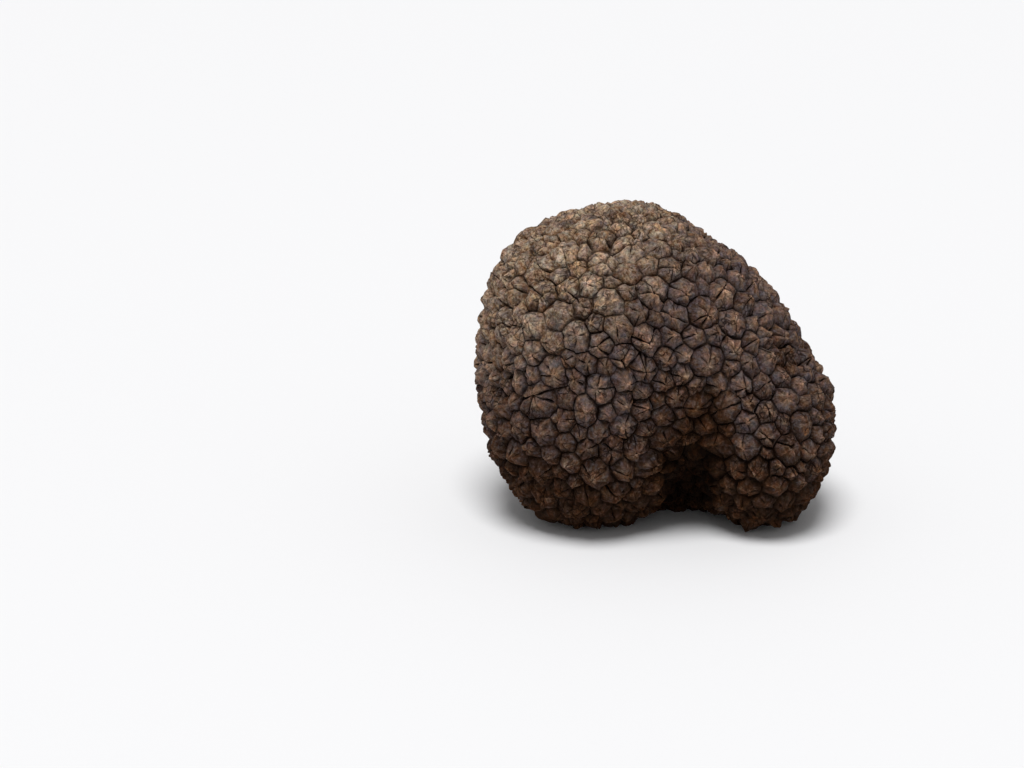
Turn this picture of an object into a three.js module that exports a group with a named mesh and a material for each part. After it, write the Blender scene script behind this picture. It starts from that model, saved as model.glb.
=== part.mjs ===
// A black summer truffle: one solid, lobed and knobbly, covered all over in low polygonal warts
// parted by narrow furrows. It lies on a small flat spot where the lowest warts are worn level.
//
// Millimetres, +Z up. The origin is on the surface the truffle lies on, under the middle of its
// bounding box. +X is towards the lower lobe, and -Y is the side with the deep fold.

import * as THREE from "three";
import { ConvexHull } from "three/addons/math/ConvexHull.js";
import { SimplexNoise } from "three/addons/math/SimplexNoise.js";

// ---- Driving dimensions ----

// The flesh under the warts: ellipsoids that melt into one another.
const LOBES = [
  { name: "crown", at: [-9.2, 2, 37.6], radii: [26.4, 27, 25.2] },
  { name: "left flank", at: [-13, 0, 21.8], radii: [21.8, 25, 24] },
  { name: "right shoulder", at: [8.6, 3, 31.2], radii: [18.2, 24, 21] },
  { name: "lower lobe", at: [19.8, -1, 18.2], radii: [15.4, 22, 19.4] },
  { name: "waist", at: [4, -3, 21], radii: [13, 18, 15] },
  { name: "belly", at: [4, 1, 12.6], radii: [14, 16, 12.4] },
];
const LOBE_BLEND = 7; // how far two lobes melt into each other

// The fold between the lobes, and the shallow valley that it runs on into, as lines in the front
// view, from [x, z] up to [x, z]. They are deepest at the lower end and run out at the upper one.
const FOLDS = [
  { from: [3, -10], to: [7, 26], radius: 4.3, depth: 23 },
  { from: [5, 18], to: [11, 50], radius: 9, depth: 3 },
];
const FOLD_CURVE = 1.6; // over 1, a fold keeps its depth low down and loses it first
const FOLD_FADE = 10; // how far in front of the truffle's middle a fold runs out

const CORE = [3.5, 3, 28]; // the point inside that every part of the skin can be seen from
const SWELL = 0.8; // height of the broad unevenness of the skin
const SWELL_LENGTH = 17; // and its wavelength

const WART_COUNT = 664;
const WART_RADIUS = 2.55; // mean half width of a wart
const WART_SPREAD = 0.24; // how much wart sizes differ, as the sigma of their logarithm
const WART_LEAST = 0.62; // smallest and largest wart, as shares of the mean
const WART_MOST = 1.35;
const FURROW_DEPTH = 0.8; // below the mean skin
const SHOULDER_RISE = 0.15; // above the mean skin, where a wart's side meets its top
const TIP_RISE = 1.25; // above the mean skin, at a wart's tip
const SIZE_SHARE = 0.5; // how much of a wart's height goes with its width
const SHOULDER_AT = 0.85; // how far out the shoulder stands, from tip to furrow
const TIP_WANDER = 0.27; // how far a tip strays from the middle, as a share of the wart's radius
const UNEVEN = 0.22; // how much furrow depths and wart heights differ, as a share
const CROOKED = 0.42; // how far the furrows are drawn aside, so that no wart is quite regular
const CROOKED_LENGTH = 6; // and how soon that changes along the skin
const CROWN_WEAR = { from: 46, to: 64, share: 0.35 }; // relief rubbed down towards the top
const REST_LEVEL = -0.3; // height of the mean skin over the surface, where the truffle rests
const REST_BLEND = 2; // how gently the underside turns flat there

// ---- How the skin is found and the warts are spread over it ----

const SEED = 20481;
const FAR = 1000; // farther than any lobe
const SEARCH = { from: 5, to: 70, halvings: 34 }; // along a ray from the core, to the skin
const SLOPE_STEP = 0.4; // either side of a point, to find which way the skin faces
const TO_SKIN_STEPS = 4; // from a point close to the skin
const LEAST_SLOPE = 0.3; // keeps those steps short
const SPIRAL_STEPS = 12; // steps of the starting spiral for each wart
const LEAST_FACING = 0.12; // the most slanting skin that is counted as such
const PUSH_STEPS = 120;
const PUSH_SHARE = 0.45; // of an overlap that each of two warts gives way by in one step
const CENTRE_STEPS = 1;
const TURN_ROUNDS = 20; // at most, of turning edges between warts
const TINY = 1e-6; // keeps a division away from zero

// ---- Helpers ----

const core = new THREE.Vector3(...CORE);
const noise = new SimplexNoise({ random: seededRandom(SEED + 1) });

function seededRandom(seed) {
  let state = seed >>> 0;
  return () => {
    state = (state + 0x6d2b79f5) >>> 0;
    let t = Math.imul(state ^ (state >>> 15), 1 | state);
    t = (t + Math.imul(t ^ (t >>> 7), 61 | t)) ^ t;
    return ((t ^ (t >>> 14)) >>> 0) / 4294967296;
  };
}

// Draws a point aside, by a smooth field, so that neighbours move together.
function drawAside(p) {
  const at = p.clone().divideScalar(CROOKED_LENGTH);
  const aside = new THREE.Vector3(
    noise.noise3d(at.x, at.y, at.z),
    noise.noise3d(at.y, at.z, at.x + FAR),
    noise.noise3d(at.z, at.x, at.y - FAR),
  );
  return aside.multiplyScalar(CROOKED).add(p);
}

// A normal deviate from a uniform source.
function deviate(random) {
  return Math.sqrt(-2 * Math.log(1 - random())) * Math.cos(2 * Math.PI * random());
}

function smoothMin(a, b, blend) {
  const h = Math.max(blend - Math.abs(a - b), 0) / blend;
  return Math.min(a, b) - (h * h * blend) / 4;
}

// ---- The skin ----

function distanceToLobe(p, lobe) {
  const scaled = new THREE.Vector3(
    (p.x - lobe.at[0]) / lobe.radii[0],
    (p.y - lobe.at[1]) / lobe.radii[1],
    (p.z - lobe.at[2]) / lobe.radii[2],
  );
  const gradient = new THREE.Vector3(
    scaled.x / lobe.radii[0],
    scaled.y / lobe.radii[1],
    scaled.z / lobe.radii[2],
  );
  const reach = scaled.length();
  return (reach * (reach - 1)) / Math.max(gradient.length(), TINY);
}

const foldLines = FOLDS.map(
  ({ from, to }) =>
    new THREE.Line3(new THREE.Vector3(from[0], 0, from[1]), new THREE.Vector3(to[0], 0, to[1])),
);

// Signed distance to the mean skin, negative inside.
function skinDistance(p) {
  let d = FAR;
  for (const lobe of LOBES) d = smoothMin(d, distanceToLobe(p, lobe), LOBE_BLEND);
  const level = new THREE.Vector3(p.x, 0, p.z);
  const inFront = THREE.MathUtils.smoothstep(-p.y, 0, FOLD_FADE);
  FOLDS.forEach((fold, i) => {
    const up = foldLines[i].closestPointToPointParameter(level, true);
    const aside = foldLines[i].at(up, new THREE.Vector3()).distanceTo(level) / fold.radius;
    d += fold.depth * inFront * (1 - up) ** FOLD_CURVE * Math.exp(-(aside ** 2));
  });
  d += SWELL * noise.noise3d(p.x / SWELL_LENGTH, p.y / SWELL_LENGTH, p.z / SWELL_LENGTH);
  return -smoothMin(-d, p.z - REST_LEVEL, REST_BLEND);
}

// The point of the mean skin on the ray from the core through p.
function onSkin(p) {
  const way = p.clone().sub(core).normalize();
  let inside = SEARCH.from;
  let outside = SEARCH.to;
  for (let i = 0; i < SEARCH.halvings; i++) {
    const middle = (inside + outside) / 2;
    if (skinDistance(way.clone().multiplyScalar(middle).add(core)) < 0) inside = middle;
    else outside = middle;
  }
  return way.multiplyScalar(inside).add(core);
}

// How the signed distance grows round p. It points straight out of the skin.
function skinSlope(p) {
  const along = (axis) => {
    const offset = new THREE.Vector3().setComponent(axis, SLOPE_STEP);
    return skinDistance(p.clone().add(offset)) - skinDistance(p.clone().sub(offset));
  };
  return new THREE.Vector3(along(0), along(1), along(2)).divideScalar(2 * SLOPE_STEP);
}

function skinNormal(p) {
  return skinSlope(p).normalize();
}

// A point of the mean skin straight over or under p, which is close to it.
function toSkin(p) {
  const at = p.clone();
  for (let i = 0; i < TO_SKIN_STEPS; i++) {
    const slope = skinSlope(at);
    at.addScaledVector(slope, -skinDistance(at) / Math.max(slope.lengthSq(), LEAST_SLOPE));
  }
  return at;
}

// ---- Where the warts stand ----

// Points on the skin, each with about the same area of skin round it. They are picked from a much
// finer spiral of even steps round the core, more often where the skin is far off or slanting.
function evenPoints(count, random) {
  const golden = Math.PI * (3 - Math.sqrt(5));
  const steps = count * SPIRAL_STEPS;
  const spiral = [];
  let area = 0;
  for (let i = 0; i < steps; i++) {
    const z = 1 - (2 * i + 1) / steps;
    const round = Math.sqrt(1 - z * z);
    const way = new THREE.Vector3(Math.cos(golden * i) * round, Math.sin(golden * i) * round, z);
    const at = onSkin(way.clone().add(core));
    area += at.distanceToSquared(core) / Math.max(skinNormal(at).dot(way), LEAST_FACING);
    spiral.push({ at, area });
  }
  const points = [];
  for (const { at, area: passed } of spiral) {
    const due = ((points.length + random()) * area) / count;
    if (passed > due && points.length < count) points.push(at);
  }
  return points;
}

// Warts start evenly spread and push each other apart until each has its own room.
function placeWarts() {
  const random = seededRandom(SEED);
  const warts = evenPoints(WART_COUNT, random).map((at) => {
    const share = Math.exp(WART_SPREAD * deviate(random));
    const radius = WART_RADIUS * Math.min(Math.max(share, WART_LEAST), WART_MOST);
    return { at, radius };
  });
  for (let step = 0; step < PUSH_STEPS; step++) {
    const push = warts.map(() => new THREE.Vector3());
    for (let i = 0; i < warts.length; i++)
      for (let j = i + 1; j < warts.length; j++) {
        const room = warts[i].radius + warts[j].radius;
        const apart = warts[i].at.clone().sub(warts[j].at);
        const gap = apart.length();
        if (gap >= room) continue;
        apart.multiplyScalar((PUSH_SHARE * (room - gap)) / Math.max(gap, TINY));
        push[i].add(apart);
        push[j].sub(apart);
      }
    warts.forEach((wart, i) => (wart.at = toSkin(wart.at.add(push[i]))));
  }
  for (let step = 0; step < CENTRE_STEPS; step++) {
    const triangles = neighbourTriangles(warts);
    const corners = triangles.map((three) => meetingPoint(warts, three));
    ringsOfTriangles(warts.length, triangles).forEach((ring, i) => {
      const middle = new THREE.Vector3();
      for (const t of ring) middle.add(corners[t]);
      warts[i].at = toSkin(middle.divideScalar(ring.length));
    });
  }
  return warts;
}

// Where three warts meet, further from the larger ones.
function meetingPoint(warts, three) {
  const at = new THREE.Vector3();
  let total = 0;
  for (const i of three) {
    const pull = 1 / warts[i].radius;
    at.addScaledVector(warts[i].at, pull);
    total += pull;
  }
  return at.divideScalar(total);
}

// The triangles between neighbouring warts, each as three wart numbers, turned outwards. They
// are found as seen from the core, then set right where the skin slants to that view.
function neighbourTriangles(warts) {
  const ways = warts.map((wart, i) => {
    const way = wart.at.clone().sub(core).normalize();
    way.wart = i;
    return way;
  });
  const hull = new ConvexHull().setFromPoints(ways);
  const triangles = hull.faces.map((face) => {
    const corners = [];
    let edge = face.edge;
    do {
      corners.push(edge.head().point.wart);
      edge = edge.next;
    } while (edge !== face.edge);
    return corners;
  });
  let turned = 1;
  for (let round = 0; round < TURN_ROUNDS && turned; round++) turned = turnEdges(warts, triangles);
  return triangles;
}

// The angle at wart c of the triangle a, b, c.
function angleAt(warts, a, b, c) {
  const first = warts[a].at.clone().sub(warts[c].at);
  const second = warts[b].at.clone().sub(warts[c].at);
  return first.angleTo(second);
}

// Goes once through the edges, and joins the other two corners of a pair of triangles wherever
// the edge they share is too long for them. Gives the number of edges turned.
function turnEdges(warts, triangles) {
  const sides = new Map();
  const key = (a, b) => a * warts.length + b;
  const enter = (t) =>
    triangles[t].forEach((a, k) => sides.set(key(a, triangles[t][(k + 1) % 3]), t));
  triangles.forEach((_, t) => enter(t));
  let turned = 0;
  for (const side of [...sides.keys()]) {
    const a = Math.floor(side / warts.length);
    const b = side % warts.length;
    if (a > b || !sides.has(side)) continue;
    const left = sides.get(side);
    const right = sides.get(key(b, a));
    const c = triangles[left].find((wart) => wart !== a && wart !== b);
    const d = triangles[right].find((wart) => wart !== a && wart !== b);
    if (angleAt(warts, a, b, c) + angleAt(warts, a, b, d) < Math.PI + TINY) continue;
    if (sides.has(key(c, d)) || sides.has(key(d, c))) continue;
    sides.delete(side);
    sides.delete(key(b, a));
    triangles[left] = [a, d, c];
    triangles[right] = [d, b, c];
    enter(left);
    enter(right);
    turned++;
  }
  return turned;
}

// For each wart, the triangles round it in order.
function ringsOfTriangles(count, triangles) {
  const after = Array.from({ length: count }, () => new Map());
  triangles.forEach((corners, t) =>
    corners.forEach((wart, k) =>
      after[wart].set(corners[(k + 1) % 3], { triangle: t, next: corners[(k + 2) % 3] }),
    ),
  );
  return after.map((steps) => {
    const ring = [];
    let at = steps.keys().next().value;
    for (let i = 0; i < steps.size; i++) {
      ring.push(steps.get(at).triangle);
      at = steps.get(at).next;
    }
    return ring;
  });
}

// ---- The mesh ----

function truffleGeometry() {
  const warts = placeWarts();
  const triangles = neighbourTriangles(warts);
  const rings = ringsOfTriangles(warts.length, triangles);
  const random = seededRandom(SEED + 2);
  const uneven = () => 1 + UNEVEN * (2 * random() - 1);
  const vertices = [];
  const faces = [];

  const raise = (point, height) => {
    const at = toSkin(drawAside(point));
    const worn = THREE.MathUtils.smoothstep(at.z, CROWN_WEAR.from, CROWN_WEAR.to);
    at.addScaledVector(skinNormal(at), height * (1 - CROWN_WEAR.share * worn));
    at.z = Math.max(at.z, 0);
    vertices.push(at);
    return vertices.length - 1;
  };

  const corners = triangles.map((three) =>
    raise(meetingPoint(warts, three), -FURROW_DEPTH * uneven()),
  );

  warts.forEach((wart, i) => {
    const size = THREE.MathUtils.lerp(1, wart.radius / WART_RADIUS, SIZE_SHARE);
    const stray = new THREE.Vector3(random() - 0.5, random() - 0.5, random() - 0.5);
    stray.multiplyScalar(2 * TIP_WANDER * wart.radius);
    const tip = raise(stray.add(wart.at), TIP_RISE * size * uneven());
    const rim = rings[i].map((t) => corners[t]);
    const shoulder = rim.map((v) => {
      const out = vertices[v].clone().sub(wart.at).multiplyScalar(SHOULDER_AT);
      return raise(out.add(wart.at), SHOULDER_RISE * size * uneven());
    });
    for (let k = 0; k < rim.length; k++) {
      const next = (k + 1) % rim.length;
      faces.push(tip, shoulder[k], shoulder[next]);
      faces.push(shoulder[k], rim[k], rim[next]);
      faces.push(shoulder[k], rim[next], shoulder[next]);
    }
  });

  const middle = new THREE.Box3().setFromPoints(vertices).getCenter(new THREE.Vector3());
  const flat = vertices.flatMap((v) => [v.x - middle.x, v.y - middle.y, v.z]);
  const geometry = new THREE.BufferGeometry();
  geometry.setAttribute("position", new THREE.Float32BufferAttribute(flat, 3));
  geometry.setIndex(faces);
  geometry.computeVertexNormals();
  return geometry;
}

const rind = new THREE.MeshStandardMaterial({ color: 0x3d312b, roughness: 0.85, metalness: 0 });

const truffle = new THREE.Mesh(truffleGeometry(), rind);
truffle.name = "truffle";

const group = new THREE.Group();
group.add(truffle);
export default group;
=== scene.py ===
"""A whole black truffle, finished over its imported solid, on a plain pale stage.

The solid says where every wart stands, how high its tip and its shoulders are, and where the
furrows between the warts run. This script reads the warts from it and models each again, with
steep furrow walls, ridged or swollen flanks, a worn or sunken tip, and cracks.

Metres, +Z up, in the solid's own frame.
"""

import functools
import math
import random

import bmesh
import bpy
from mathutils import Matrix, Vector, kdtree, noise


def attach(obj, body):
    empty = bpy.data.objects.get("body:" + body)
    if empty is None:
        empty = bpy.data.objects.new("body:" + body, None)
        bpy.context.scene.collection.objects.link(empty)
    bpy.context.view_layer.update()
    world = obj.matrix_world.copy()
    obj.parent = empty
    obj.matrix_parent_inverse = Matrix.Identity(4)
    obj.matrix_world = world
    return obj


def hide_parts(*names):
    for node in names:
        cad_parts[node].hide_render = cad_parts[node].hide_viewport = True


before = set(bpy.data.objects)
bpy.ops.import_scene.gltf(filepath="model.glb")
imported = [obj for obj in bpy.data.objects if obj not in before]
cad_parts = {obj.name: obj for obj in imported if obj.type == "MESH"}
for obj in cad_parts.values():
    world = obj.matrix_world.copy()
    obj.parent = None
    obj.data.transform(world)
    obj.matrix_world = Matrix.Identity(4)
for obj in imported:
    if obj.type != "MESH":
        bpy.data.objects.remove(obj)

bl_info = {
    "name": "Black truffle",
    "version": (1, 0, 0),
    "blender": (4, 5, 0),
    "location": "3D View > Sidebar > Truffle",
    "description": "Models the rind of a black truffle over its solid, and sets a plain stage",
    "category": "Object",
}

MM = 0.001

# ---- The solid ----

NODE = "truffle"
BODY = "root"
WELD = 0.001 * MM  # vertices closer than this are one
SHOULDER_EDGES = 5  # edges that meet at each shoulder point of a wart in the solid
SHOULDER_FACES = 3  # faces of a wart in the solid, for each of its shoulder points
SOLID_SHOULDER = 0.85  # how far out that shoulder stands, from tip to furrow

# ---- The rind ----

SEED = 4711
WALLS = (0.36, 0.78)  # vertex rings between furrow and edge of a wart, as shares of that way
TOPS = (1.0, 0.80, 0.58, 0.36, 0.15)  # and those from its edge in, as shares of the way out
INSET = 0.01 * MM  # before a new ring is put in its place
FOLD_REACH = 12 * MM  # how far round a wart its neighbours tell whether it lies in a fold
FOLD_WARTS = 4  # that are nearest to a point tell how far the point lies in a fold
FOLD_BLUR = 1 * MM  # added to each one's distance, so that a very near one isn't all that counts
SHARP_SPLIT = 0.25  # how deep in a crack the lines start that shading leaves sharp

# The furrows.
FURROW_PATCH = 4 * MM  # over which furrows turn from narrow to wide, or from shallow to deep
UNEVEN_WIDTH = 0.5  # of a furrow's width, by which it varies everywhere
GAPE = 1.2  # of its width, by which it is wider still where it gapes
GAPING = (0.1, 0.5)  # where the noise that sets the width goes from not gaping to gaping
DEEPER = (-0.2, 0.5)  # and where the noise that sets the depth goes from no deeper to deepest
BEND = 3 * MM  # size of a furrow's wide bends
KINK = 1.1 * MM  # and of its narrow ones
KINK_SHARE = 0.35  # of the wide bends' reach, that the narrow ones have
MOST_WALL = 0.4  # of the way out, the most that the wall takes up on a small wart
WALL_CURVE = 1.2  # over 1, a furrow's wall grows steeper towards the bottom

# A wart's flanks.
DOMING = (0.92, 1.10)  # 1 is a straight flank from tip to edge, and over 1 it is domed
ROUNDING = (0.0, 0.08)  # how far the edge is rounded off, as a share of the radius
EDGE_CURVE = 4  # how late a wart's top starts to round off towards its edge
SWELL = (-0.13, 0.0)  # of the flanks between two ridges, as a share of the radius
SWELL_PEAK = 1.3  # over 1, the flanks and lobes swell most past halfway out
CREST_REACH = 0.4  # of the way out, how far a wart's tip reaches
PIT_REACH = 0.3  # of the way out, how far a sunken tip reaches
DARK_PIT = 0.3 * MM  # how deep a pit has to be to get a crack's painted shade
WAVE = 1.5 * MM  # size of the bends in the lines on the warts
LUMP = 1.9 * MM  # size of the lumps on them
FINE = 0.8 * MM  # and of their fine unevenness
COARSER_TIP = 0.5  # of that unevenness, by which it is coarser at a tip

# A wart's cracks.
MIDDLING = 2.6 * MM  # radius of a wart of middling size
SMALL, LARGE = 1.8 * MM, 3.2 * MM  # radii between which cracks grow more common
SIZE_SHARE = 0.3  # how far a wart's size, and not chance, decides how cracked it is
WHOLE, NICKED, SLIT = 0.24, 0.68, 0.90  # how cracked it is up to, from 0 to 1, for each kind
NICKS, SLITS, PETALS, CREASES = (1, 2, 2, 3, 3), (2, 2, 3, 3), (3, 4, 4, 5), (3, 4, 5)  # a wart
NICK_DEPTH, SLIT_DEPTH, PETAL_DEPTH = 0.8, 1.4, 1.4  # times the set depth of a crack
SLIT_WIDTH, PETAL_WIDTH = 1.5, 1.6  # times its set width, which a nick has
DEPTH_SPREAD, WIDTH_SPREAD = (0.7, 1.2), (0.7, 1.4)  # times those again, from crack to crack
NICK_START, PETAL_START, CREASE_START = (0.0, 0.4), (0.0, 0.15), (0.1, 0.4)  # of the way out
NICK_END, SLIT_END, PETAL_END = (0.45, 0.9), 0.75, (0.5, 0.85)  # of those that stay on the wart
TAPER = (0.0, 0.7)  # how much narrower and shallower a crack gets on the way out
WHOLE_PIT, NICKED_PIT = (0.1, 0.3), (0.1, 0.35)  # mm
SLIT_PIT, PETAL_PIT = 1.1, (0.6, 1.0)  # as shares of the depth of a crack
THROUGH = 1.1  # where a crack ends that runs out into the furrow
CRACK_OPENS = (-0.12, 0.02)  # where it opens, from its start, as shares of the way out
CRACK_CLOSES = (-0.02, 0.16)  # and where it closes, from its end
CRACK_SHALLOWS = 0.3  # of its depth, lost on the way out to the furrow
JAGGEDNESS = 0.5  # of its depth and width, by which they come and go
JAGS = 6  # how often they do on the way out
JAG_SPREAD = 0.7  # how fast that changes from one line to the next
CRACK_LINES = 3  # lines round a wart for each of its cracks, at least
SCATTER = 0.38  # of the way from one crack to the next, how far off an even spread they are
CREASE_DARKNESS = 0.35  # of a crack's painted shade, that a crease gets
CREASE_SCATTER = 0.15  # of the way from one crease to the next
LUMP_SPAN = 0.22  # of the way round a wart, that one of its lumps takes
LUMP_SIDE = 0.35  # of the way over a lump, that its side takes

# The attributes that the finish reads.
PLACE = "place"  # where a point is on its wart, and the wart's number
FURROW = "furrow"  # 1 at the bottom of a furrow
SPLIT = "split"  # 1 at the bottom of a crack
RIDGE = "ridge"  # 1 on the lines from a wart's tip to its corners
CREST = "crest"  # 1 at the tip
HOLLOW = "hollow"  # 1 deep in a fold

# ---- The finish ----

# Patterns, from the broadest: features a metre, levels of detail, and how strong the finer are.
BROAD = (38.0, 3.0, 0.5)
RUST_SPOTS = (120.0, 2.0, 0.5)
BLOTCHES = (150.0, 2.0, 0.5)
CLODS = (210.0, 3.0, 0.6)
PATCHES = (330.0, 4.0, 0.65)
HUES = (620.0, 4.0, 0.72)
CRUMBS = (800.0, 4.0, 0.7)
SPECKS = (1500.0, 3.0, 0.7)
GRAIN = (5200.0, 3.0, 0.6)
STREAKS = (4.0, 4.0, 0.7)  # on a wart's own coordinates, which have no unit
STREAK_SHIFT = 7.3  # from one wart's streaks to the next one's
STREAK_LENGTH = 0.7  # how fast they change on the way out
BENDS = (2.0, 0.5)  # detail, and how strong it is
GRITS = 1350.0  # a metre
GRIT_BENDS, GRIT_BEND = 900.0, 1.1 * MM  # how many bends a metre, and how far they go
CRACKED_CELLS = 430.0  # a metre, with the fine cracks between them
CRACK_BENDS, CRACK_BEND = 500.0, 2.4 * MM
CRACK_LINE = (0.075, 0.01)  # from beside a fine crack to the middle of it
CRACKED_PATCHES = (0.47, 0.58)  # blotches from none of these cracks to all
MOST = (0.3, 0.7)  # most of a noise's values lie between these
NEARLY_ALL = (0.28, 0.72)  # and nearly all between these

# Where the coats lie. Two values are where a pattern gives none of the coat and where it gives
# all, and four say how much of the coat it gives at each as well.
BROWN = (0.22, 0.52)
BROWN_WART, BROWN_EDGE = 0.06, -0.3  # some warts are browner, and a wart's edge is less so
RUBBED = (1.35, 1.85)
RUBBED_TIP, RUBBED_PATCH, RUBBED_WART = 0.6, 2.0, 0.3  # what counts towards being rubbed
RUBBED_RIDGE, RUBBED_RIDGE_PATCH, RUBBED_RIDGE_SHARE = (0.4, 1.0), (0.5, 0.66), 0.5
RUBBED_SPECKS = (0.36, 0.6, 0.05, 0.85)
RUBBED_FOLD = (0.15, -0.12, 0.3, 1.0)
EARTH_LINE = (52 * MM, 78 * MM)  # heights where earth starts to cling and where most does
EARTH_DROP = 16 * MM  # how far below them it comes in places
EARTH_LEAN = 0.6  # how steeply they rise from left to right
EARTH_PATCHES, EARTH_SPECKS = (0.32, 0.62), (0.3, 0.62)
EARTH_BETWEEN = (0.0, 0.6, 0.3, 1.0)  # there is some between those patches and specks too
BROWNER_EARTH = (0.5, 0.66, 0.0, 0.8)
RUST, RUST_SPECKS, RUST_SHARE = (0.74, 0.77), (0.45, 0.6), 0.7
# Painted shade at the bottom of the furrows and cracks, where their walls keep out the light, on
# top of their modelled depth.
FURROW_SHADE, FURROW_STREAKS = (0.55, 1.15), 0.6  # unevenly, with the streaks beside it
FURROW_BLOTCHES = (0.38, 0.6, 0.5, 1.0)
CRACK_SHADE = (0.1, 0.85)
FINE_CRACK_SHADE = 0.75
EARTH_IN_DEPTHS = (0.0, 0.9, 1.0, 0.82)  # where earth clings, it lies in the furrows too

# Tones. A pattern's least and greatest value, and what they multiply the colour by. Some of them
# are painted shade.
STREAK_TONES = (*NEARLY_ALL, 0.72, 1.28)
CRUMB_TONES = (*MOST, 0.8, 1.45)
EDGE_WEAR_AND_SHADE_TONES = (1.0, 0.55, 0.75, 1.08)  # from the edge of a wart to halfway in: darker at the edge, partly because worn tips are paler and partly as painted shade towards the furrow
SPECK_TONES = (*NEARLY_ALL, 0.72, 1.34)
WART_TONES = (0.0, 1.0, 0.82, 1.2)
GRAIN_TONES = (*MOST, 0.88, 1.14)
GRIT_TONES = (0.25, 0.75, 1.15, 0.85)
# painted shade deep in a fold
FOLD_SHADE_TONES = (-0.10, 0.13, 1.0, 0.2)
LOW_SHADE_TONES = (6 * MM, 36 * MM, 0.36, 1.0)  # painted shade, darkest by the floor and gone at the upper height
RED, GREEN, BLUE = (*MOST, 0.86, 1.15), (*MOST, 0.91, 1.06), (*MOST, 1.14, 0.84)
TINTED = (0.22, 1.1)  # tones, painted shade among them, from wholly tinted to not at all
WHITE = (1.0, 1.0, 1.0)

# The surface.
RELIEF = 0.4 * MM  # height of the fine relief, which is in the shading alone
RELIEF_STRENGTH = 0.8
SPECK_RELIEF, STREAK_RELIEF, GRAIN_RELIEF, CRUMB_RELIEF = 0.8, 0.6, 0.25, 0.8  # shares of it
GRIT_RELIEF, CRACK_RELIEF = -0.7, -0.6
ROUGHNESS = (*MOST, 0.75, 0.95)
SHEEN = 0.05

# A Mix node's sockets for two colours and the share of the second, and for what it gives.
SHARE, FIRST, SECOND, MIXED = 0, 6, 7, 2

# ---- The stage ----

FLOOR_REACH = 3.0  # from the middle of the floor to its sides
FLOOR_ROUGHNESS = 0.7
KEY_PLACE = (-0.06, -0.30, 0.92)  # the key light shines from here to the origin
AIM = (-0.0290, 0.0077, 0.0237)  # the point that the camera looks at
LENS = 100  # mm
SENSOR = 36  # mm
NEAREST = 10 * MM  # from the camera, that it sees


def settings():
    """The sizes and colours of the rind that the panel shows."""
    return bpy.context.scene.truffle_rind


class Crack:
    """A split in a wart, along one of the lines that run from its tip to its furrow.

    One with no width is a mere crease between two lumps.
    """

    def __init__(self, line, start, end, depth, half_width, taper):
        self.line = line
        self.start = start
        self.end = end
        self.depth = depth
        self.half_width = half_width
        self.taper = taper
        # How much of a crack's painted shade lies along it.
        self.darkness = 1.0 if half_width else CREASE_DARKNESS

    def openness(self, share):
        """How open the crack is at this share of the way out, from 0 to 1."""
        opening = smooth_step(*(self.start + way for way in CRACK_OPENS), share)
        opening *= 1 - self.taper * min(share, 1)
        if self.end >= 1:
            return opening
        return opening * (1 - smooth_step(*(self.end + way for way in CRACK_CLOSES), share))


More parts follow.
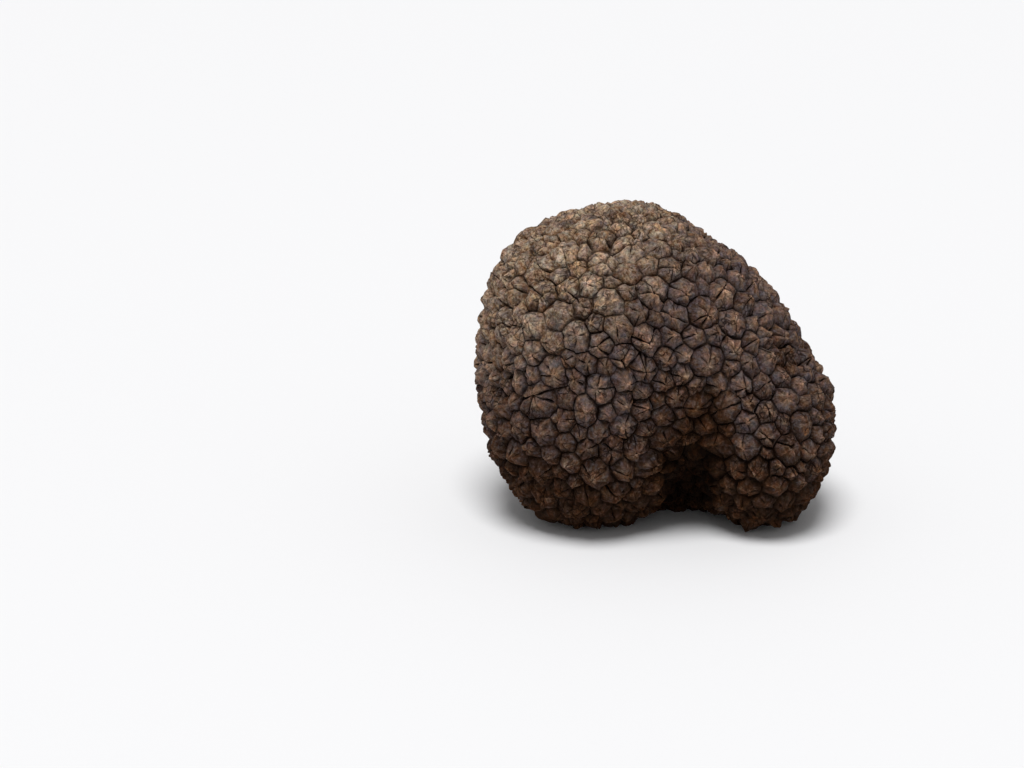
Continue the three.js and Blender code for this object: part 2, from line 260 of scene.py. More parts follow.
class Wart:
    """One wart: its tip, and for each line out from it the points at the furrow and shoulder."""

    def __init__(self, number, tip, rim, shoulder, along):
        self.random = random.Random(SEED + number)
        self.number = number
        self.tip = tip
        self.along = along
        self.up = self.facing(rim)
        self.rim_out, self.rim_drop = zip(*(self.from_tip(p) for p in rim))
        self.shoulder_drop = [self.from_tip(p)[1] for p in shoulder]
        self.radius = sum(out.length for out in self.rim_out) / len(rim)
        self.count = len(rim)
        self.doming = self.random.uniform(*DOMING)
        self.rounding = self.random.uniform(*ROUNDING)
        self.swell = self.random.uniform(*SWELL)
        self.cracks = []
        self.pit = 0.0
        self.split_up()
        self.crease()
        self.lobe = self.lobes()
        self.edge = self.edges(rim)

    def facing(self, rim):
        """The way out of the truffle, square to the wart's face."""
        normal = Vector()
        for here, there in zip(rim, rim[1:] + rim[:1]):
            normal += (here - self.tip).cross(there - self.tip)
        return normal.normalized()

    def from_tip(self, point):
        """The way to a point across the wart's face, and its height over the tip."""
        way = point - self.tip
        height = way.dot(self.up)
        return way - height * self.up, height

    def split_up(self):
        """Draws the wart's kind: whole, nicked, slit right across, or open like a flower."""
        larger = smooth_step(SMALL, LARGE, self.radius)
        cracked = self.random.random() * (1 - SIZE_SHARE) + SIZE_SHARE * larger
        depth = settings().crack_depth * self.radius / MIDDLING
        half_width = settings().crack_width / 2
        if cracked < WHOLE:
            self.pit = self.random.uniform(*WHOLE_PIT) * MM
        elif cracked < NICKED:
            self.nick(depth, half_width)
        elif cracked < SLIT:
            self.slit(depth, half_width)
        else:
            self.flower(depth, half_width)

    def nick(self, depth, half_width):
        """Cracks it a few times, not always as far as its tip or its edge."""
        for line in self.spread_lines(self.random.choice(NICKS)):
            start = self.random.uniform(*NICK_START)
            end = self.random.choice((THROUGH, self.random.uniform(*NICK_END)))
            self.crack(line, start, end, depth * NICK_DEPTH, half_width)
        self.pit = self.random.uniform(*NICKED_PIT) * MM

    def slit(self, depth, half_width):
        """Cracks it from the middle, mostly right out into the furrow."""
        for line in self.spread_lines(self.random.choice(SLITS)):
            end = self.random.choice((THROUGH, THROUGH, SLIT_END))
            self.crack(line, 0, end, depth * SLIT_DEPTH, half_width * SLIT_WIDTH)
        self.pit = depth * SLIT_PIT

    def flower(self, depth, half_width):
        """Parts it into petals, with wide cracks round a sunken tip."""
        for line in self.spread_lines(self.random.choice(PETALS)):
            end = self.random.choice((THROUGH, self.random.uniform(*PETAL_END)))
            start = self.random.uniform(*PETAL_START)
            self.crack(line, start, end, depth * PETAL_DEPTH, half_width * PETAL_WIDTH)
        self.pit = depth * self.random.uniform(*PETAL_PIT)

    def crease(self):
        """Parts the wider stretches between the cracks into lumps, by shallow creases."""
        lines = self.cracked_lines()
        new = []
        for line, following in zip(lines, lines[1:] + [line + self.count for line in lines[:1]]):
            gap = following - line
            parts = max(round(gap / (self.count * LUMP_SPAN)), 1)
            for i in range(1, parts):
                spot = i + self.random.uniform(-CREASE_SCATTER, CREASE_SCATTER)
                new.append(round(line + gap * spot / parts) % self.count)
        if not lines:
            new = self.spread_lines(self.random.choice(CREASES))
        depth = settings().crease_depth * self.radius / MIDDLING
        for line in new:
            self.crack(line, self.random.uniform(*CREASE_START), THROUGH, depth, 0)

    def cracked_lines(self):
        """The lines that have a crack, in order round the wart."""
        return sorted({crack.line for crack in self.cracks})

    def edges(self, rim):
        """For each line, how far out the wart's edge is, further in where a crack runs out."""
        edges = []
        for point, out, lobe in zip(rim, self.rim_out, self.lobe):
            width = furrow_width(point) * (1 + settings().notch * (1 - lobe) ** 2)
            edges.append(1 - min(width / out.length, MOST_WALL))
        return edges

    def lobes(self):
        """For each line, how far it stands out between the cracks on either side, 0 to 1."""
        lines = self.cracked_lines()
        if len(lines) < 2:
            return [1.0] * self.count
        lobe = []
        for line in range(self.count):
            before = max((k for k in lines if k <= line), default=lines[-1] - self.count)
            after = min((k for k in lines if k > line), default=lines[0] + self.count)
            apart = min(line - before, after - line) / (after - before)
            lobe.append(smooth_step(0, LUMP_SIDE, apart))
        return lobe

    def crack(self, line, start, end, depth, half_width):
        """Adds a crack, about as deep and wide as this."""
        depth *= self.random.uniform(*DEPTH_SPREAD)
        half_width *= self.random.uniform(*WIDTH_SPREAD)
        taper = self.random.uniform(*TAPER)
        self.cracks.append(Crack(line, start, end, depth, half_width, taper))

    def spread_lines(self, number):
        """Lines for a number of cracks, apart from each other all round the wart."""
        number = min(number, self.count // CRACK_LINES)
        first = self.random.uniform(0, self.count)
        step = self.count / number if number else 0
        lines = set()
        for i in range(number):
            spot = first + (i + self.random.uniform(-SCATTER, SCATTER)) * step
            lines.add(int(spot) % self.count)
        return sorted(lines)

    def ring(self, number, line):
        """How far out a ring is on one line, the first ring being the lowest in the furrow."""
        edge = self.edge[line]
        if number < len(WALLS):
            return 1 - WALLS[number] * (1 - edge)
        return TOPS[number - len(WALLS)] * edge

    def drop(self, line, share):
        """Height over the tip of the uncracked flank, on one line, at a share of the way out."""
        edge = self.edge[line]
        reach = min(share / edge, 1)
        between = math.sin(math.pi * self.along[line])
        swell = self.swell * between + settings().lobe_swell * self.lobe[line]
        bulge = swell * math.sin(math.pi * reach**SWELL_PEAK) - self.rounding * reach**EDGE_CURVE
        slope = self.shoulder_drop[line] * settings().steepness * edge / SOLID_SHOULDER
        height = slope * reach**self.doming + bulge * self.radius
        if share > edge:
            down = ((share - edge) / (1 - edge)) ** WALL_CURVE
            height += (self.rim_drop[line] - height) * down
        return height

    def point(self, line, share):
        """Where the vertex on one line and ring goes, and how deep in a crack it is, 0 to 1."""
        out = self.rim_out[line] * share
        height = self.drop(line, share)
        split = 0.0
        spot = Vector((share * JAGS, line * JAG_SPREAD, self.number))
        jagged = 1 + JAGGEDNESS * noise.noise(spot)
        for crack in self.cracks:
            openness = min(crack.openness(share) * jagged, 1)
            if not openness:
                continue
            side = (line - crack.line + 1) % self.count - 1
            if side == 0:
                height -= crack.depth * openness * (1 - share * CRACK_SHALLOWS)
                split = max(split, openness * crack.darkness)
            elif side in (-1, 1) and crack.half_width:
                middle = self.rim_out[crack.line] * share
                aside = self.up.cross(middle).normalized() * side
                room = abs((out - middle).dot(aside))
                lip = middle + aside * min(crack.half_width, room)
                out = out.lerp(lip, openness)
                height += (self.drop(crack.line, share) - height) * openness
        height -= self.pit * max(0, 1 - share / PIT_REACH)
        return self.tip + out + self.up * height, split

    def place(self, line, share):
        """Unit-free coordinates across the wart's face, with its number for the third."""
        axis = self.up.orthogonal().normalized()
        out = self.rim_out[line]
        angle = math.atan2(out.dot(self.up.cross(axis)), out.dot(axis))
        return Vector((share * math.cos(angle), share * math.sin(angle), self.number))


def furrow_width(point):
    """From the middle of a furrow to the edge of a wart, at a point in the furrow."""
    wide = noise.noise(point / FURROW_PATCH)
    gaping = smooth_step(*GAPING, wide)
    return settings().wall_width * (1 + UNEVEN_WIDTH * wide + GAPE * gaping)


def smooth_step(low, high, value):
    share = min(max((value - low) / (high - low), 0.0), 1.0)
    return share * share * (3 - 2 * share)


def lines_round(tip):
    """The solid's points round a tip, in order: each shoulder with the furrow corner by it."""
    ring = []
    loop = tip.link_loops[0]
    for _ in tip.link_loops:
        foot = loop.link_loop_next.link_loop_radial_next
        ring.append((loop.link_loop_next.vert, foot.link_loop_prev.vert))
        loop = loop.link_loop_prev.link_loop_radial_next
    shoulders = [shoulder for shoulder, _ in ring]
    corners = [corner for _, corner in ring[-1:] + ring[:-1]]
    return shoulders, corners


def find_warts(bm):
    """The tip, shoulder points and furrow corners of every wart in the welded solid."""
    found = []
    for vert in bm.verts:
        around = [edge.other_vert(vert) for edge in vert.link_edges]
        if all(len(v.link_edges) == SHOULDER_EDGES for v in around):
            found.append((vert, *lines_round(vert)))
    if sum(len(shoulders) for _, shoulders, _ in found) * SHOULDER_FACES != len(bm.faces):
        raise RuntimeError("The solid's faces aren't all parts of warts")
    return found


def flatten_warts(bm, found):
    """Makes each wart one face with the furrow round it. Gives the faces, and the wart's data."""
    parts, data = [], []
    for tip, shoulders, corners in found:
        faces = dict.fromkeys(face for vert in (tip, *shoulders) for face in vert.link_faces)
        parts.append(list(faces))
        rings = ([vert.co.copy() for vert in ring] for ring in (shoulders, corners))
        data.append((tip.co.copy(), *rings))
    tops = [bmesh.ops.dissolve_faces(bm, faces=faces)["region"][0] for faces in parts]
    return tops, data


def divide_furrows(bm, step):
    """Puts vertices along the furrows, a step apart."""
    by_cuts = {}
    for edge in bm.edges:
        by_cuts.setdefault(max(round(edge.calc_length() / step), 1) - 1, []).append(edge)
    for cuts, edges in sorted(by_cuts.items()):
        if cuts:
            bmesh.ops.bisect_edges(bm, edges=edges, cuts=cuts)


def wander_furrows(bm, sizes):
    """Makes the furrows' lines crooked, and some stretches deeper than others."""
    bm.normal_update()
    for vert in bm.verts:
        bend = noise.noise_vector(vert.co / BEND) * sizes.crookedness
        bend += noise.noise_vector(vert.co / KINK) * sizes.crookedness * KINK_SHARE
        deeper = smooth_step(*DEEPER, noise.noise(vert.co / FURROW_PATCH)) * sizes.deepening
        vert.co += bend - vert.normal * deeper


def outline(top, shoulders, corners):
    """For the lines out to a wart's rim: the first one's loop, their shoulder points, and how far
    each is along its side."""
    points = [loop.vert.co for loop in top.loops]
    first = min(range(len(points)), key=lambda k: (points[k] - corners[0]).length)
    points = points[first:] + points[:first]
    starts = [
        min(range(len(points)), key=lambda k: (points[k] - corner).length) for corner in corners
    ]
    if starts != sorted(starts):
        raise RuntimeError("A wart's corners don't follow its outline")
    shoulder, along = [], []
    for side, (start, end) in enumerate(zip(starts, starts[1:] + [len(points)])):
        following = shoulders[(side + 1) % len(shoulders)]
        for i in range(start, end):
            share = (i - start) / (end - start)
            shoulder.append(shoulders[side].lerp(following, share))
            along.append(share)
    return first, shoulder, along


def grow_rings(bm, tops, warts, firsts):
    """Insets each wart's face ring by ring, and puts every new vertex in place. Gives the line
    and the share of the way out of each vertex, on each wart that it belongs to."""
    furrow, split, ridge, crest = (
        bm.verts.layers.float.new(name) for name in (FURROW, SPLIT, RIDGE, CREST)
    )
    spots = {}
    for top, wart, first in zip(tops, warts, firsts):
        for k, loop in enumerate(top.loops):
            spots[loop.vert, wart.number] = ((k - first) % wart.count, 1.0)
    for vert in bm.verts:
        vert[furrow] = 1.0
    for number in range(len(WALLS) + len(TOPS)):
        bmesh.ops.inset_individual(bm, faces=tops, thickness=INSET)
        for top, wart, first in zip(tops, warts, firsts):
            for k, loop in enumerate(top.loops):
                line = (k - first) % wart.count
                share = wart.ring(number, line)
                spots[loop.vert, wart.number] = (line, share)
                loop.vert.co, loop.vert[split] = wart.point(line, share)
                loop.vert[ridge] = 1.0 if wart.along[line] == 0 else 0.0
                loop.vert[furrow] = 1 - WALLS[number] if number < len(WALLS) else 0.0
                loop.vert[crest] = max(0.0, 1 - share / CREST_REACH)
    return spots


def close_tips(bm, tops, warts, spots):
    """Joins each wart's innermost ring to a vertex at its tip."""
    split, ridge, crest = (bm.verts.layers.float[name] for name in (SPLIT, RIDGE, CREST))
    inner = {top.loops[0].vert: wart for top, wart in zip(tops, warts)}
    for vert in bmesh.ops.poke(bm, faces=tops)["verts"]:
        wart = next(inner[v] for v in (e.other_vert(vert) for e in vert.link_edges) if v in inner)
        spots[vert, wart.number] = (0, 0.0)
        vert.co = wart.point(0, 0.0)[0]
        # A deep pit gets the painted shade of a crack.
        vert[split] = 1.0 if wart.pit > DARK_PIT else 0.0
        vert[ridge] = 1.0
        vert[crest] = 1.0


def note_places(bm, warts, spots):
    """Gives each face corner its place on the wart that the face is a part of."""
    place = bm.loops.layers.float_vector.new(PLACE)
    numbers = {}
    for vert, number in spots:
        numbers.setdefault(vert, set()).add(number)
    by_number = {wart.number: wart for wart in warts}
    for face in bm.faces:
        number = set.intersection(*(numbers[loop.vert] for loop in face.loops)).pop()
        for loop in face.loops:
            line, share = spots[loop.vert, number]
            loop[place] = by_number[number].place(line, share)


def mark_folds(bm, warts):
    """Says at each point how far it lies in a fold, from where the warts round it stand."""
    hollow = bm.verts.layers.float.new(HOLLOW)
    tips = kdtree.KDTree(len(warts))
    for wart in warts:
        tips.insert(wart.tip, wart.number)
    tips.balance()
    folded = []
    for wart in warts:
        ways = [tip - wart.tip for tip, _, gap in tips.find_range(wart.tip, FOLD_REACH) if gap]
        folded.append(sum(way.normalized().dot(wart.up) for way in ways) / len(ways))
    for vert in bm.verts:
        near = tips.find_n(vert.co, FOLD_WARTS)
        weights = [1 / (gap + FOLD_BLUR) for _, _, gap in near]
        total = sum(weight * folded[number] for weight, (_, number, _) in zip(weights, near))
        vert[hollow] = total / sum(weights)


def roughen(bm, sizes):
    """Bends the warts' lines, gives the whole surface a fine unevenness and the tips a coarser
    one, and keeps it all above the surface that it rests on."""
    crest = bm.verts.layers.float[CREST]
    for vert in bm.verts:
        vert.co += noise.noise_vector(vert.co / WAVE) * sizes.waviness
    bm.normal_update()
    for vert in bm.verts:
        lump = noise.noise(vert.co / LUMP) * sizes.lumpiness
        coarseness = 1 + COARSER_TIP * vert[crest]
        fine = noise.noise(vert.co / FINE) * sizes.unevenness * coarseness
        vert.co += vert.normal * (lump + fine)
        vert.co.z = max(vert.co.z, 0)


def sharpen(bm):
    """Keeps the shading sharp along the ridges and along the bottoms of the cracks."""
    furrow, split, ridge = (bm.verts.layers.float[name] for name in (FURROW, SPLIT, RIDGE))
    for edge in bm.edges:
        on_ridge = all(vert[ridge] and not vert[furrow] for vert in edge.verts)
        in_crack = all(vert[split] > SHARP_SPLIT for vert in edge.verts)
        edge.smooth = not (on_ridge or in_crack)


class TRUFFLE_PG_rind(bpy.types.PropertyGroup):
    """Sizes and colours of the rind."""

    step: bpy.props.FloatProperty(
        name="Step",
        description="Distance between vertices along a furrow",
        default=0.81 * MM,
        unit="LENGTH",
    )
    wall_width: bpy.props.FloatProperty(
        name="Wall width",
        description="From the middle of a furrow to a wart's edge",
        default=0.19 * MM,
        unit="LENGTH",
    )
    deepening: bpy.props.FloatProperty(
        name="Deepening",
        description="How much deeper than in the solid the deepest furrows are",
        default=0.28 * MM,
        unit="LENGTH",
    )
    steepness: bpy.props.FloatProperty(
        name="Steepness",
        description="How much steeper the warts' flanks are than in the solid",
        default=1.12,
        subtype="FACTOR",
    )
    lobe_swell: bpy.props.FloatProperty(
        name="Lobe swell",
        description="How far the lobes between a wart's cracks swell, as a share of its radius",
        default=0.10,
        subtype="FACTOR",
    )
    crack_depth: bpy.props.FloatProperty(
        name="Crack depth",
        description="Depth of the cracks in a wart of middling size",
        default=1.0 * MM,
        unit="LENGTH",
    )
    crack_width: bpy.props.FloatProperty(
        name="Crack width",
        description="Width of a crack at the surface",
        default=0.50 * MM,
        unit="LENGTH",
    )
    crease_depth: bpy.props.FloatProperty(
        name="Crease depth",
        description="Depth of the creases between the lumps of a wart of middling size",
        default=0.38 * MM,
        unit="LENGTH",
    )
    notch: bpy.props.FloatProperty(
        name="Notch",
        description="How much wider a furrow is where a crack or crease runs into it",
        default=0.7,
        subtype="FACTOR",
    )
    crookedness: bpy.props.FloatProperty(
        name="Crookedness",
        description="How far the furrows stray from straight lines",
        default=0.40 * MM,
        unit="LENGTH",
    )
    waviness: bpy.props.FloatProperty(
        name="Waviness",
        description="How far the lines on the warts stray from straight",
        default=0.32 * MM,
        unit="LENGTH",
    )
    lumpiness: bpy.props.FloatProperty(
        name="Lumpiness",
        description="Height of the lumps on the warts",
        default=0.18 * MM,
        unit="LENGTH",
    )
    unevenness: bpy.props.FloatProperty(
        name="Unevenness",
        description="Height of the fine unevenness of the warts",
        default=0.1 * MM,
        unit="LENGTH",
    )
    # The colour of the painted shade in the furrows and cracks.
    furrow_shade_colour: bpy.props.FloatVectorProperty(
        name="Furrow",
        description="Colour at the bottom of the furrows and cracks",
        default=(0.0095, 0.0034, 0.0012),
        subtype="COLOR",
    )
    flank_colour: bpy.props.FloatVectorProperty(
        name="Flank",
        description="Colour of the sides of the warts",
        default=(0.078, 0.059, 0.057),
        subtype="COLOR",
    )
    brown_colour: bpy.props.FloatVectorProperty(
        name="Brown patches",
        description="Colour of the browner patches and specks",
        default=(0.127, 0.078, 0.053),
        subtype="COLOR",
    )
    # A warm tint for the painted shade and for the rind's own darker parts.
    shade_tint: bpy.props.FloatVectorProperty(
        name="Low tint",
        description="Tint of the darker, lower parts of the rind",
        default=(1.0, 0.62, 0.31),
        subtype="COLOR",
    )
    tip_colour: bpy.props.FloatVectorProperty(
        name="Tip",
        description="Colour of rubbed tips and ridges",
        default=(0.300, 0.195, 0.138),
        subtype="COLOR",
    )
    dust_colour: bpy.props.FloatVectorProperty(
        name="Dust",
        description="Colour of the dry earth that clings to the crown",
        default=(0.278, 0.206, 0.146),
        subtype="COLOR",
    )
    earth_colour: bpy.props.FloatVectorProperty(
        name="Earth",
        description="Colour of that earth where more of it clings",
        default=(0.300, 0.192, 0.108),
        subtype="COLOR",
    )
    rust_colour: bpy.props.FloatVectorProperty(
        name="Rust",
        description="Colour of the few orange spots",
        default=(0.240, 0.110, 0.045),
        subtype="COLOR",
    )


class TRUFFLE_PG_stage(bpy.types.PropertyGroup):
    """The floor, the light and the view."""

    floor_colour: bpy.props.FloatVectorProperty(
        name="Floor",
        description="Colour of the floor",
        default=(0.86, 0.86, 0.87),
        subtype="COLOR",
    )
    key_strength: bpy.props.FloatProperty(
        name="Key light",
        description="Strength of the large soft light overhead",
        default=2.6,
    )
    key_softness: bpy.props.FloatProperty(
        name="Key softness",
        description="How wide the key light is, seen from the truffle",
        default=math.radians(28),
        subtype="ANGLE",
    )
    sky: bpy.props.FloatProperty(
        name="Sky",
        description="Strength of the even white light from all round",
        default=0.36,
    )
    elevation: bpy.props.FloatProperty(
        name="Elevation",
        description="How far the camera looks down",
        default=math.radians(18),
        subtype="ANGLE",
    )
    distance: bpy.props.FloatProperty(
        name="Distance",
        description="From the camera to the point it looks at",
        default=583 * MM,
        unit="LENGTH",
    )


class Wiring:
    """Adds nodes to a material and joins them."""

    def __init__(self, material):
        material.use_nodes = True
        self.tree = material.node_tree
        self.shader = self.tree.nodes["Principled BSDF"]

    def node(self, kind, inputs=(), **fields):
        made = self.tree.nodes.new("ShaderNode" + kind)
        for name, value in fields.items():
            setattr(made, name, value)
        for name, value in dict(inputs).items():
            self.put(made.inputs[name], value)
        return made

    def put(self, socket, value):
        if isinstance(value, bpy.types.NodeSocket):
            self.tree.links.new(value, socket)
        elif socket.type == "RGBA" and len(value) == 3:
            socket.default_value = (*value, 1)
        else:
            socket.default_value = value

    def math(self, operation, *values):
        return self.node("Math", enumerate(values), operation=operation).outputs[0]

    def band(self, value, low, high, start=0.0, end=1.0):
        """value taken from low..high to start..end, smoothly and no further."""
        inputs = {"Value": value, "From Min": low, "From Max": high, "To Min": start, "To Max": end}
        made = self.node("MapRange", inputs, interpolation_type="SMOOTHSTEP")
        return made.outputs["Result"]

    def mix(self, share, first, second, blend="MIX"):
        """The first colour with a share of the second over it."""
        made = self.node("Mix", data_type="RGBA", blend_type=blend)
        self.put(made.inputs[SHARE], share)
        self.put(made.inputs[FIRST], first)
        self.put(made.inputs[SECOND], second)
        return made.outputs[MIXED]

    def product(self, *values):
        """The values multiplied together."""
        return functools.reduce(lambda so_far, value: self.math("MULTIPLY", so_far, value), values)

    def sum(self, *weighted):
        """The values added up, each times its weight."""
        total = 0.0
        for value, weight in weighted:
            total = self.math("MULTIPLY_ADD", value, weight, total)
        return total

    def vector(self, *values):
        """A vector, or a colour, of up to three values."""
        return self.node("CombineXYZ", dict(zip("XYZ", values))).outputs[0]

    def axes(self, vector):
        return self.node("SeparateXYZ", {"Vector": vector}).outputs

    def noise(self, place, scale, detail, roughness, output="Fac"):
        """Noise with about this many features in each unit of the place."""
        inputs = {"Vector": place, "Scale": scale, "Detail": detail, "Roughness": roughness}
        return self.node("TexNoise", inputs).outputs[output]

    def bend(self, place, scale, reach):
        """The place moved by up to this reach, so that the lines of a pattern on it wander."""
        way = self.noise(place, scale, *BENDS, "Color")
        way = self.node("VectorMath", {0: way, "Scale": reach}, operation="SCALE").outputs[0]
        return self.node("VectorMath", {0: place, 1: way}, operation="ADD").outputs[0]


class RindFinish:
    """Dark, dry, warty skin: grey-brown flanks, rubbed tips and earth on top, with painted shade,
    near black in the furrows and cracks, and darker towards the warts' edges, in the folds and low
    down.

    Each coat is a method that takes the colour so far and gives it with the coat on.
    """

    def __init__(self, colours):
        self.colours = colours
        self.material = bpy.data.materials.new("truffle_rind")
        self.wire = Wiring(self.material)
        self.read_mesh()
        self.draw_patterns()
        colour = self.flanks()
        for coat in (self.rubbed, self.earth, self.rust, self.hues, self.tones_and_shade, self.depth_shade):
            colour = coat(colour)
        self.join(colour)

    def read_mesh(self):
        """Where a point is on the body and on its wart, and what the mesh says of it."""
        wire = self.wire
        self.body = wire.node("TexCoord").outputs["Object"]
        self.across, _, self.height = wire.axes(self.body)
        self.furrow, self.split, self.ridge, self.crest, self.hollow = (
            wire.node("Attribute", attribute_name=name).outputs["Fac"]
            for name in (FURROW, SPLIT, RIDGE, CREST, HOLLOW)
        )
        place = wire.node("Attribute", attribute_name=PLACE).outputs["Vector"]
        x, y, self.number = wire.axes(place)
        self.flat = wire.vector(x, y)
        self.out = wire.node("VectorMath", {0: self.flat}, operation="LENGTH").outputs["Value"]

    def draw_patterns(self):
        """The patterns that several coats share, from the broadest to the finest."""
        wire, body = self.wire, self.body
        self.broad = wire.noise(body, *BROAD)
        self.blotches = wire.noise(body, *BLOTCHES)
        self.patches = wire.noise(body, *PATCHES)
        self.crumbs = wire.noise(body, *CRUMBS)
        self.specks = wire.noise(body, *SPECKS)
        self.grain = wire.noise(body, *GRAIN)
        bent = wire.bend(body, GRIT_BENDS, GRIT_BEND)
        self.grits = wire.node("TexVoronoi", {"Vector": bent, "Scale": GRITS}).outputs["Distance"]
        self.streaks = self.draw_streaks()
        self.fine_cracks = self.draw_fine_cracks()
        own = {"Vector": wire.vector(self.number)}
        tone = wire.node("TexWhiteNoise", own, noise_dimensions="3D")
        self.wart_tone = tone.outputs["Value"]
        # Earth lies on the crown, and more of it on the left.
        level = wire.sum((self.height, 1.0), (self.broad, EARTH_DROP), (self.across, -EARTH_LEAN))
        self.dusty = wire.band(level, *EARTH_LINE)

    def draw_streaks(self):
        """Streaks from a wart's tip outwards, that differ from wart to wart."""
        wire = self.wire
        direction = wire.node("VectorMath", {0: self.flat}, operation="NORMALIZE")
        x, y, _ = wire.axes(direction.outputs["Vector"])
        lengthwise = wire.sum((self.number, STREAK_SHIFT), (self.out, STREAK_LENGTH))
        return wire.noise(wire.vector(x, y, lengthwise), *STREAKS)

    def draw_fine_cracks(self):
        """Fine cracks, in patches, on lines that wander."""
        wire = self.wire
        bent = wire.bend(self.body, CRACK_BENDS, CRACK_BEND)
        cells = {"Vector": bent, "Scale": CRACKED_CELLS}
        edge = wire.node("TexVoronoi", cells, feature="DISTANCE_TO_EDGE").outputs["Distance"]
        patches = wire.band(self.blotches, *CRACKED_PATCHES)
        return wire.product(wire.band(edge, *CRACK_LINE), patches)

    def flanks(self):
        """Grey-brown all over, with browner patches."""
        wire, colours = self.wire, self.colours
        brown = wire.sum((self.patches, 1.0), (self.wart_tone, BROWN_WART), (self.out, BROWN_EDGE))
        return wire.mix(wire.band(brown, *BROWN), colours.flank_colour, colours.brown_colour)

    def rubbed(self, colour):
        """Paler tips and ridges, but not deep in a fold."""
        wire = self.wire
        near_tip = wire.sum(
            (self.crest, RUBBED_TIP), (self.patches, RUBBED_PATCH), (self.wart_tone, RUBBED_WART)
        )
        on_ridge = wire.product(
            wire.band(self.ridge, *RUBBED_RIDGE),
            wire.band(self.patches, *RUBBED_RIDGE_PATCH),
            RUBBED_RIDGE_SHARE,
        )
        share = wire.product(
            wire.math("MAXIMUM", wire.band(near_tip, *RUBBED), on_ridge),
            wire.band(self.specks, *RUBBED_SPECKS),
            wire.band(self.hollow, *RUBBED_FOLD),
        )
        return wire.mix(share, colour, self.colours.tip_colour)

    def earth(self, colour):
        """Dry earth that clings to the crown, some of it browner."""
        wire, colours = self.wire, self.colours
        caught = wire.product(
            wire.band(self.patches, *EARTH_PATCHES), wire.band(self.specks, *EARTH_SPECKS)
        )
        share = wire.product(self.dusty, wire.band(caught, *EARTH_BETWEEN))
        browner = wire.band(wire.noise(self.body, *CLODS), *BROWNER_EARTH)
        return wire.mix(share, colour, wire.mix(browner, colours.dust_colour, colours.earth_colour))

    def rust(self, colour):
        """A few orange spots."""
        wire = self.wire
        spots = wire.band(wire.noise(self.body, *RUST_SPOTS), *RUST)
        share = wire.product(spots, wire.band(self.specks, *RUST_SPECKS), RUST_SHARE)
        return wire.mix(share, colour, self.colours.rust_colour)

    def hues(self, colour):
        """Some parts are warmer or colder than others, and some are pinker or greener."""
        wire = self.wire
        warmer, greener, _ = wire.axes(wire.noise(self.body, *HUES, "Color"))
        hue = wire.vector(
            wire.band(warmer, *RED), wire.band(greener, *GREEN), wire.band(warmer, *BLUE)
        )
        return wire.mix(1.0, colour, hue, "MULTIPLY")

    def tones_and_shade(self, colour):
        """Light and dark: the rind's own uneven tones, with painted shade towards the warts' edges,
        deep in the folds and low down; the dark parts, painted shade among them, are warmer.
        """
        wire = self.wire
        tone = wire.product(
            wire.band(self.streaks, *STREAK_TONES),
            wire.band(self.crumbs, *CRUMB_TONES),
            wire.band(self.out, *EDGE_WEAR_AND_SHADE_TONES),
            wire.band(self.specks, *SPECK_TONES),
            wire.band(self.wart_tone, *WART_TONES),
            wire.band(self.grain, *GRAIN_TONES),
            wire.band(self.grits, *GRIT_TONES),
            wire.band(self.hollow, *FOLD_SHADE_TONES),
            wire.band(self.height, *LOW_SHADE_TONES),
        )
        colour = wire.mix(1.0, colour, wire.vector(tone, tone, tone), "MULTIPLY")
        tint = wire.mix(wire.band(tone, *TINTED), self.colours.shade_tint, WHITE)
        return wire.mix(1.0, colour, tint, "MULTIPLY")

    def depth_shade(self, colour):
        """Painted shade, near black, in the furrows and cracks, though earth has settled in some.
        """
        wire = self.wire
        furrow = wire.sum((self.furrow, 1.0), (self.streaks, FURROW_STREAKS))
        blotches = wire.band(self.blotches, *FURROW_BLOTCHES)
        # deep: how much painted shade a point gets.
        deep = wire.product(wire.band(furrow, *FURROW_SHADE), blotches)
        deep = wire.math("MAXIMUM", deep, wire.band(self.split, *CRACK_SHADE))
        deep = wire.math("MAXIMUM", deep, wire.product(self.fine_cracks, FINE_CRACK_SHADE))
        share = wire.product(deep, wire.band(self.dusty, *EARTH_IN_DEPTHS))
        return wire.mix(share, colour, self.colours.furrow_shade_colour)

    def join(self, colour):
        """Gives the shader the colour, a fine relief and a dry, rough surface."""
        wire = self.wire
        relief = wire.sum(
            (self.specks, SPECK_RELIEF),
            (self.streaks, STREAK_RELIEF),
            (self.grain, GRAIN_RELIEF),
            (self.crumbs, CRUMB_RELIEF),
            (self.grits, GRIT_RELIEF),
            (self.fine_cracks, CRACK_RELIEF),
        )
        raised = {"Height": relief, "Strength": RELIEF_STRENGTH, "Distance": RELIEF}
        inputs = wire.shader.inputs
        wire.put(inputs["Base Color"], colour)
        wire.put(inputs["Roughness"], wire.band(self.specks, *ROUGHNESS))
        wire.put(inputs["Normal"], wire.node("Bump", raised).outputs["Normal"])
        inputs["Specular IOR Level"].default_value = SHEEN


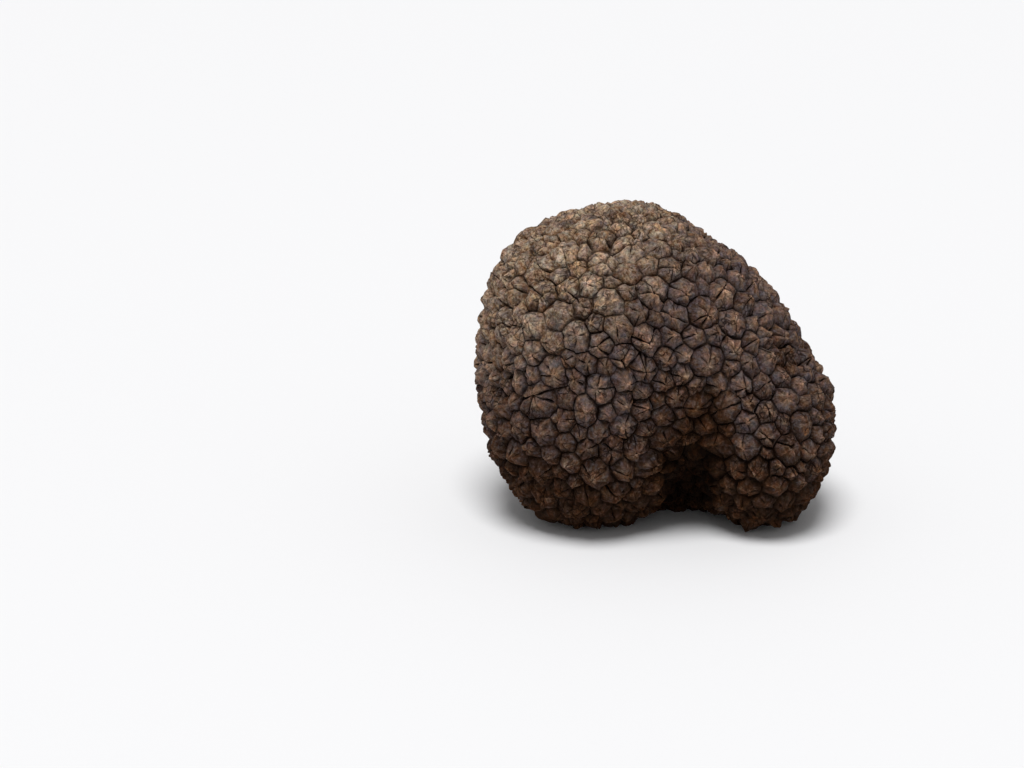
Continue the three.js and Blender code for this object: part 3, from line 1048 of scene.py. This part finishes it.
class TRUFFLE_OT_rind(bpy.types.Operator):
    """Model the truffle's warty rind over the solid, as one closed skin"""

    bl_idname = "truffle.grow_rind"
    bl_label = "Grow the rind"

    def execute(self, context):
        mesh = self.model(settings())
        mesh.materials.append(RindFinish(settings()).material)
        piece = bpy.data.objects.new("truffle_skin", mesh)
        context.scene.collection.objects.link(piece)
        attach(piece, BODY)
        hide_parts(NODE)
        return {"FINISHED"}

    def model(self, sizes):
        """The skin's mesh, from the solid's."""
        noise.seed_set(SEED)  # or noise_vector would differ from run to run
        bm = bmesh.new()
        bm.from_mesh(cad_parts[NODE].data)
        bmesh.ops.remove_doubles(bm, verts=bm.verts, dist=WELD)
        tops, data = flatten_warts(bm, find_warts(bm))
        divide_furrows(bm, sizes.step)
        outlines = [outline(top, *rings) for top, (_, *rings) in zip(tops, data)]
        wander_furrows(bm, sizes)
        warts, firsts = [], []
        for top, (tip, *_), (first, shoulder, along) in zip(tops, data, outlines):
            rim = [loop.vert.co.copy() for loop in top.loops]
            warts.append(Wart(len(warts), tip, rim[first:] + rim[:first], shoulder, along))
            firsts.append(first)
        spots = grow_rings(bm, tops, warts, firsts)
        close_tips(bm, tops, warts, spots)
        note_places(bm, warts, spots)
        roughen(bm, sizes)
        for face in bm.faces:
            face.smooth = True
        sharpen(bm)
        mark_folds(bm, warts)
        mesh = bpy.data.meshes.new("truffle_skin")
        bm.to_mesh(mesh)
        bm.free()
        return mesh


class TRUFFLE_OT_stage(bpy.types.Operator):
    """Set a plain pale floor, soft light and the camera"""

    bl_idname = "truffle.set_stage"
    bl_label = "Set the stage"

    def execute(self, context):
        stage = context.scene.truffle_stage
        self.floor(context, stage)
        self.light(context, stage)
        self.sky(context, stage)
        self.camera(context, stage)
        context.scene.view_settings.view_transform = "Standard"
        return {"FINISHED"}

    def floor(self, context, stage):
        bm = bmesh.new()
        bmesh.ops.create_grid(bm, x_segments=1, y_segments=1, size=FLOOR_REACH)
        mesh = bpy.data.meshes.new("floor")
        bm.to_mesh(mesh)
        bm.free()
        material = bpy.data.materials.new("pale_floor")
        wire = Wiring(material)
        wire.put(wire.shader.inputs["Base Color"], stage.floor_colour)
        wire.shader.inputs["Roughness"].default_value = FLOOR_ROUGHNESS
        mesh.materials.append(material)
        piece = bpy.data.objects.new("floor", mesh)
        context.scene.collection.objects.link(piece)

    def light(self, context, stage):
        lamp = bpy.data.lights.new("key", "SUN")
        lamp.energy = stage.key_strength
        lamp.angle = stage.key_softness
        light = bpy.data.objects.new("key", lamp)
        light.location = KEY_PLACE
        light.rotation_euler = Vector(KEY_PLACE).to_track_quat("Z", "Y").to_euler()
        context.scene.collection.objects.link(light)

    def sky(self, context, stage):
        world = bpy.data.worlds.new("white_studio")
        world.use_nodes = True
        background = world.node_tree.nodes["Background"]
        background.inputs["Color"].default_value = (1, 1, 1, 1)
        background.inputs["Strength"].default_value = stage.sky
        context.scene.world = world

    def camera(self, context, stage):
        camera = bpy.data.cameras.new("camera")
        camera.lens = LENS
        camera.sensor_width = SENSOR
        camera.clip_start = NEAREST
        view = bpy.data.objects.new("camera", camera)
        look = Vector((0, math.cos(stage.elevation), -math.sin(stage.elevation)))
        view.location = Vector(AIM) - look * stage.distance
        view.rotation_euler = look.to_track_quat("-Z", "Y").to_euler()
        context.scene.collection.objects.link(view)
        context.scene.camera = view


class TRUFFLE_PT_panel(bpy.types.Panel):
    """Lists the truffle's settings and steps"""

    bl_idname = "TRUFFLE_PT_panel"
    bl_label = "Black truffle"
    bl_space_type = "VIEW_3D"
    bl_region_type = "UI"
    bl_category = "Truffle"

    def draw(self, context):
        for title, group, step in (
            ("Rind", context.scene.truffle_rind, TRUFFLE_OT_rind),
            ("Stage", context.scene.truffle_stage, TRUFFLE_OT_stage),
        ):
            box = self.layout.box()
            box.label(text=title)
            for name in group.__annotations__:
                box.prop(group, name)
            box.operator(step.bl_idname)


CLASSES = (
    TRUFFLE_PG_rind,
    TRUFFLE_PG_stage,
    TRUFFLE_OT_rind,
    TRUFFLE_OT_stage,
    TRUFFLE_PT_panel,
)


def register():
    for each in CLASSES:
        bpy.utils.register_class(each)
    bpy.types.Scene.truffle_rind = bpy.props.PointerProperty(type=TRUFFLE_PG_rind)
    bpy.types.Scene.truffle_stage = bpy.props.PointerProperty(type=TRUFFLE_PG_stage)


def unregister():
    del bpy.types.Scene.truffle_stage
    del bpy.types.Scene.truffle_rind
    for each in reversed(CLASSES):
        bpy.utils.unregister_class(each)


def main():
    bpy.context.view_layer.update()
    register()
    bpy.ops.truffle.grow_rind()
    bpy.ops.truffle.set_stage()


if __name__ == "__main__":
    main()
